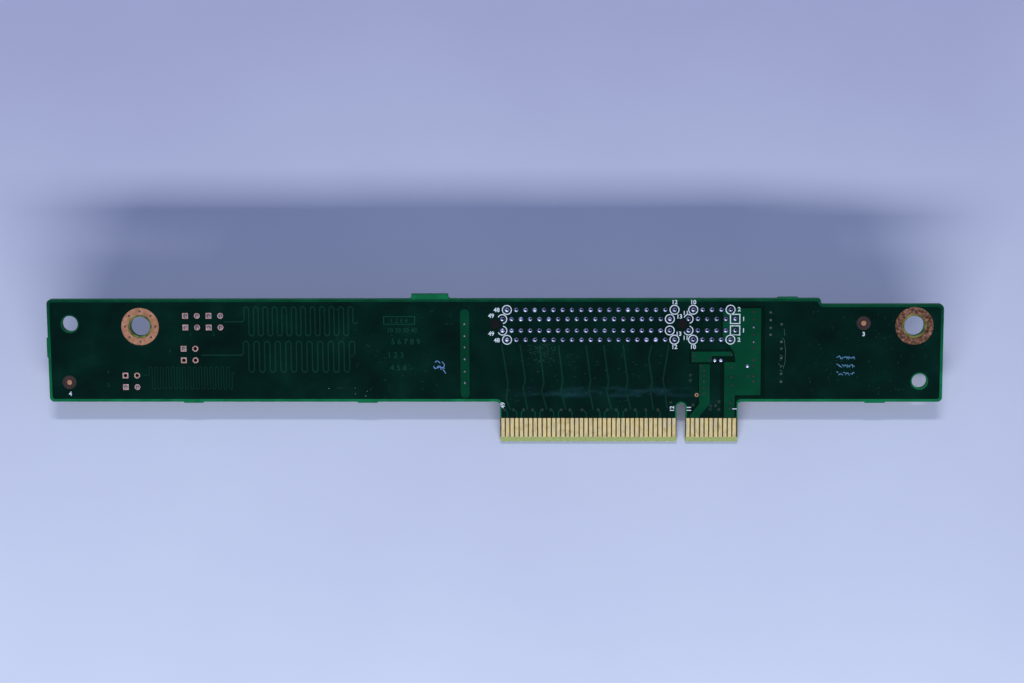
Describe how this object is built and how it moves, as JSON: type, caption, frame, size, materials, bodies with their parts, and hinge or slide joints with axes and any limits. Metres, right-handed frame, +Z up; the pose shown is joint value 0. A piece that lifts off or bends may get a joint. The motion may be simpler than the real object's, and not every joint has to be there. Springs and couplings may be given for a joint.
{
  "type": "riser card",
  "caption": "Long green circuit board with a gold-fingered edge tongue that carries a card slot on its component side, shown lying solder side up.",
  "frame": {"origin": "middle of the footprint on the table plane, with the card lying solder side up on the slot's lip and the tongue's tip", "axes": "+X along the board's length, with the tongue nearer the +X end; +Z up; the tongue points towards -Y and down"},
  "size_m": [0.1934, 0.0318, 0.0162],
  "materials": {
    "laminate": "satin",
    "housing_black": "matte",
    "gold_plate": "polished",
    "solder": "satin",
    "copper": "satin",
    "masked_copper": "satin",
    "tantalum_case": "matte",
    "chip_ceramic": "satin",
    "chip_black": "satin",
    "tinned_ends": "satin"
  },
  "bodies": {
    "root": {"circuit_board": "laminate", "slot_housing": "housing_black", "contacts_upper_inner": "gold_plate", "contacts_lower_inner": "gold_plate", "contacts_upper_outer": "gold_plate", "contacts_lower_outer": "gold_plate", "solder_joints_inner": "solder", "solder_joints_outer": "solder", "edge_contacts_solder_side": "gold_plate", "edge_contacts_component_side": "gold_plate", "screw_rings": "copper", "test_pads_open": "copper", "test_pads_filled": "solder", "fiducial_dots": "copper", "ground_strip": "masked_copper", "power_area": "masked_copper", "key_area": "masked_copper", "bulk_capacitor_bodies": "tantalum_case", "bulk_capacitor_leads": "tinned_ends", "ceramic_capacitor_bodies": "chip_ceramic", "ceramic_capacitor_ends": "tinned_ends", "strap_resistor_bodies": "chip_black", "strap_resistor_ends": "tinned_ends", "chip_solder_beads": "solder"}
  },
  "joints": []
}
